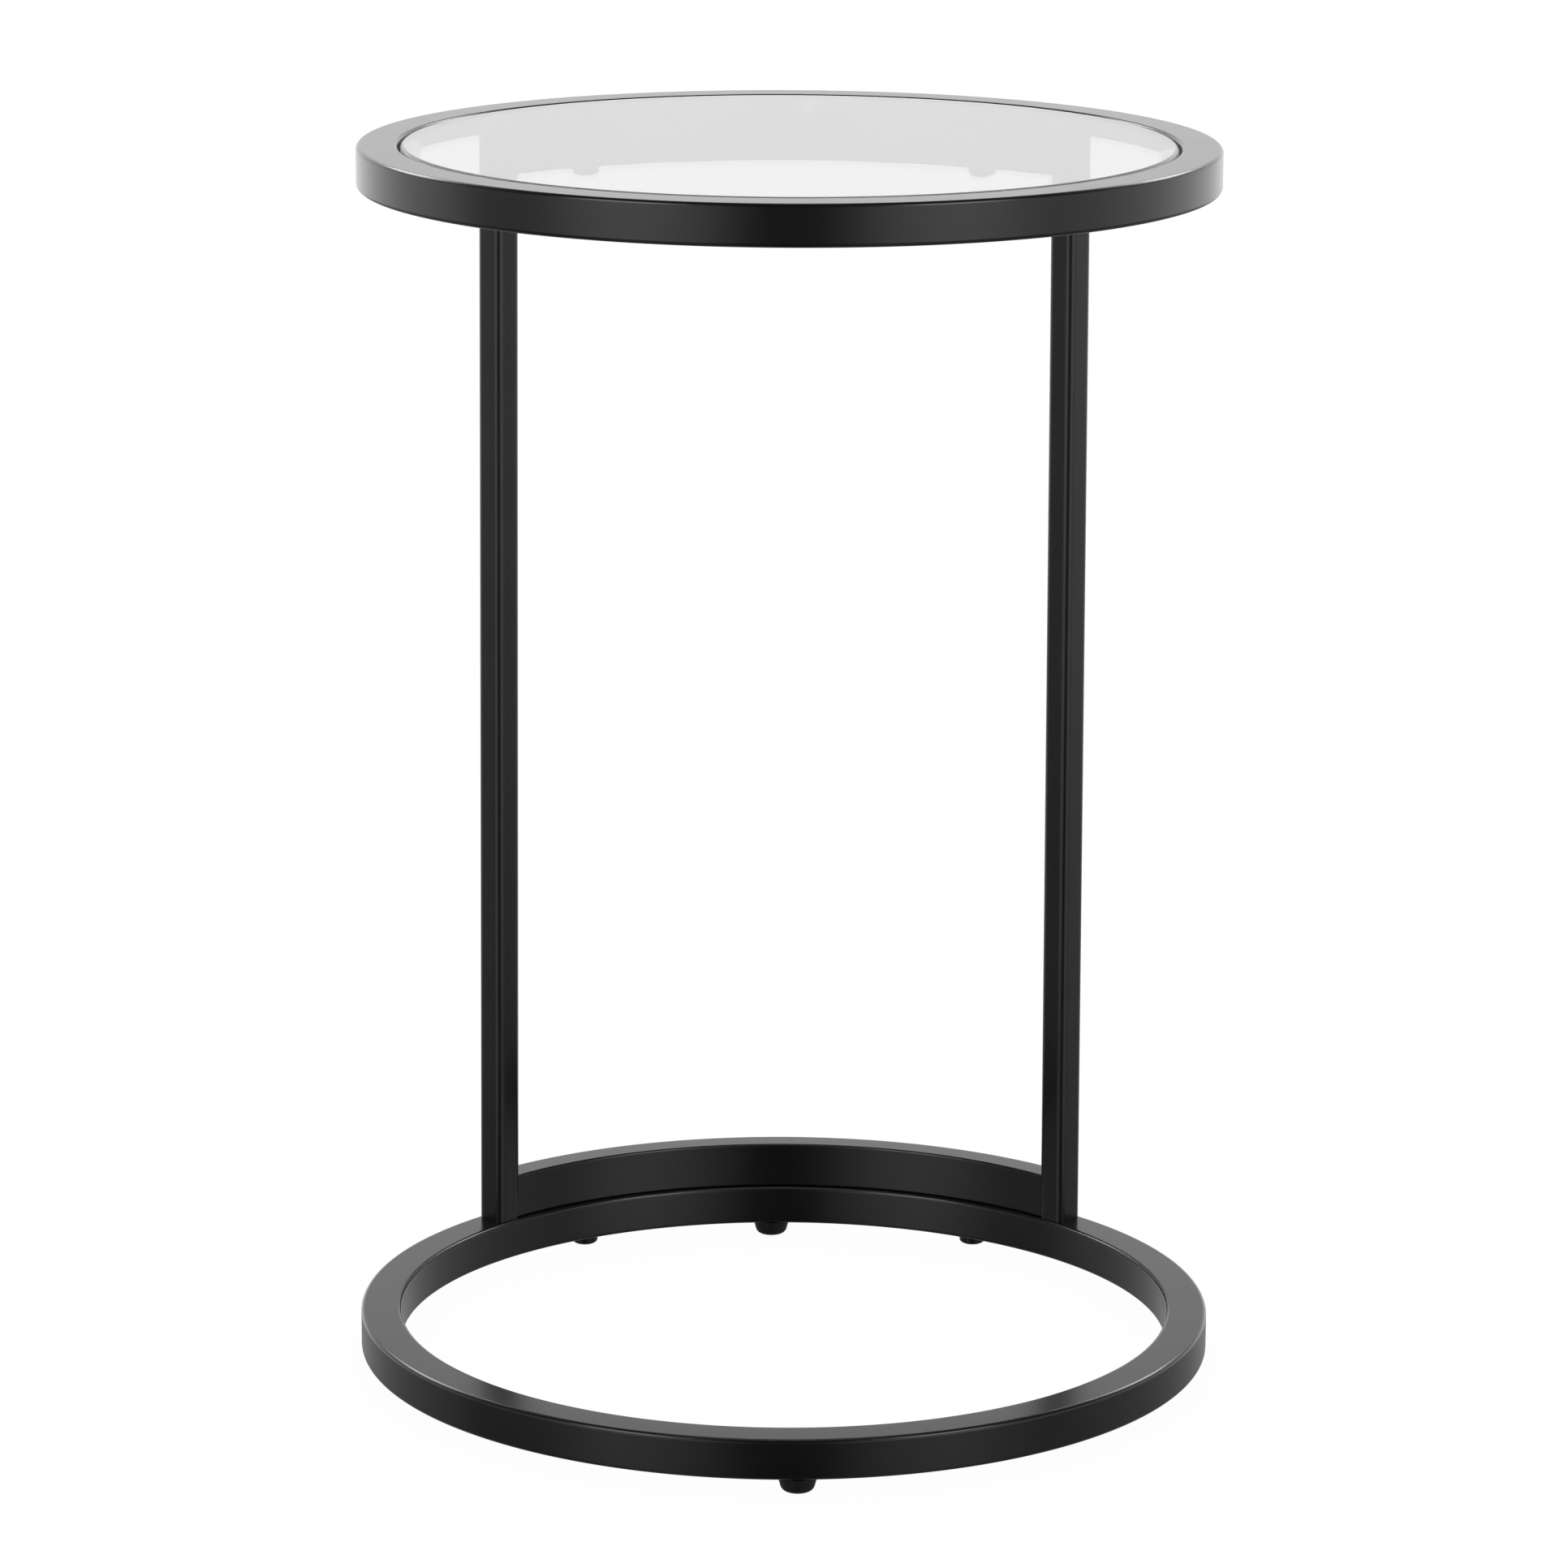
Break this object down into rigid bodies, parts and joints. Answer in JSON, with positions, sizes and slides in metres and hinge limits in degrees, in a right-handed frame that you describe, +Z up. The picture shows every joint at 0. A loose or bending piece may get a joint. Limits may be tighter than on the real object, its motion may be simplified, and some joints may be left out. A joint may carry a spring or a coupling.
{
  "type": "c-shaped side table",
  "caption": "C-shaped round side table: black square-tube rings joined at the back by legs and curved stretchers, with a drop-in clear glass top.",
  "frame": {"origin": "on the floor, under the centre of the rings", "axes": "+Z up; the legs stand at the back on +Y, and the open side of the C faces -Y"},
  "size_m": [0.422, 0.422, 0.609],
  "materials": {
    "satin_black": "satin powder coat",
    "clear_glass": "polished, tempered",
    "clear_silicone": "soft, clear",
    "black_rubber": "moulded, matte",
    "black_hardware": "black plated",
    "plated_steel": "zinc plated"
  },
  "bodies": {
    "frame": {"top_ring": "satin_black", "base_ring": "satin_black", "left_leg": "satin_black", "right_leg": "satin_black", "lower_arc": "satin_black", "upper_arc": "satin_black", "glass_pin_back": "plated_steel", "pin_sleeve_back": "clear_silicone", "foot_back": "black_rubber", "glass_pin_right": "plated_steel", "pin_sleeve_right": "clear_silicone", "foot_right": "black_rubber", "glass_pin_front": "plated_steel", "pin_sleeve_front": "clear_silicone", "foot_front": "black_rubber", "glass_pin_left": "plated_steel", "pin_sleeve_left": "clear_silicone", "foot_left": "black_rubber", "base_bolt_left": "black_hardware", "base_washer_left": "black_hardware", "base_nut_left": "plated_steel", "base_bolt_right": "black_hardware", "base_washer_right": "black_hardware", "base_nut_right": "plated_steel", "top_bolt_left": "black_hardware", "top_washer_left": "black_hardware", "top_nut_left": "plated_steel", "top_bolt_right": "black_hardware", "top_washer_right": "black_hardware", "top_nut_right": "plated_steel"},
    "glass": {"glass_top": "clear_glass"}
  },
  "joints": [
    {"name": "glass_lift", "type": "slide", "parent": "frame", "child": "glass", "axis": [0, 0, 1], "range_m": [0, 0.06]}
  ]
}
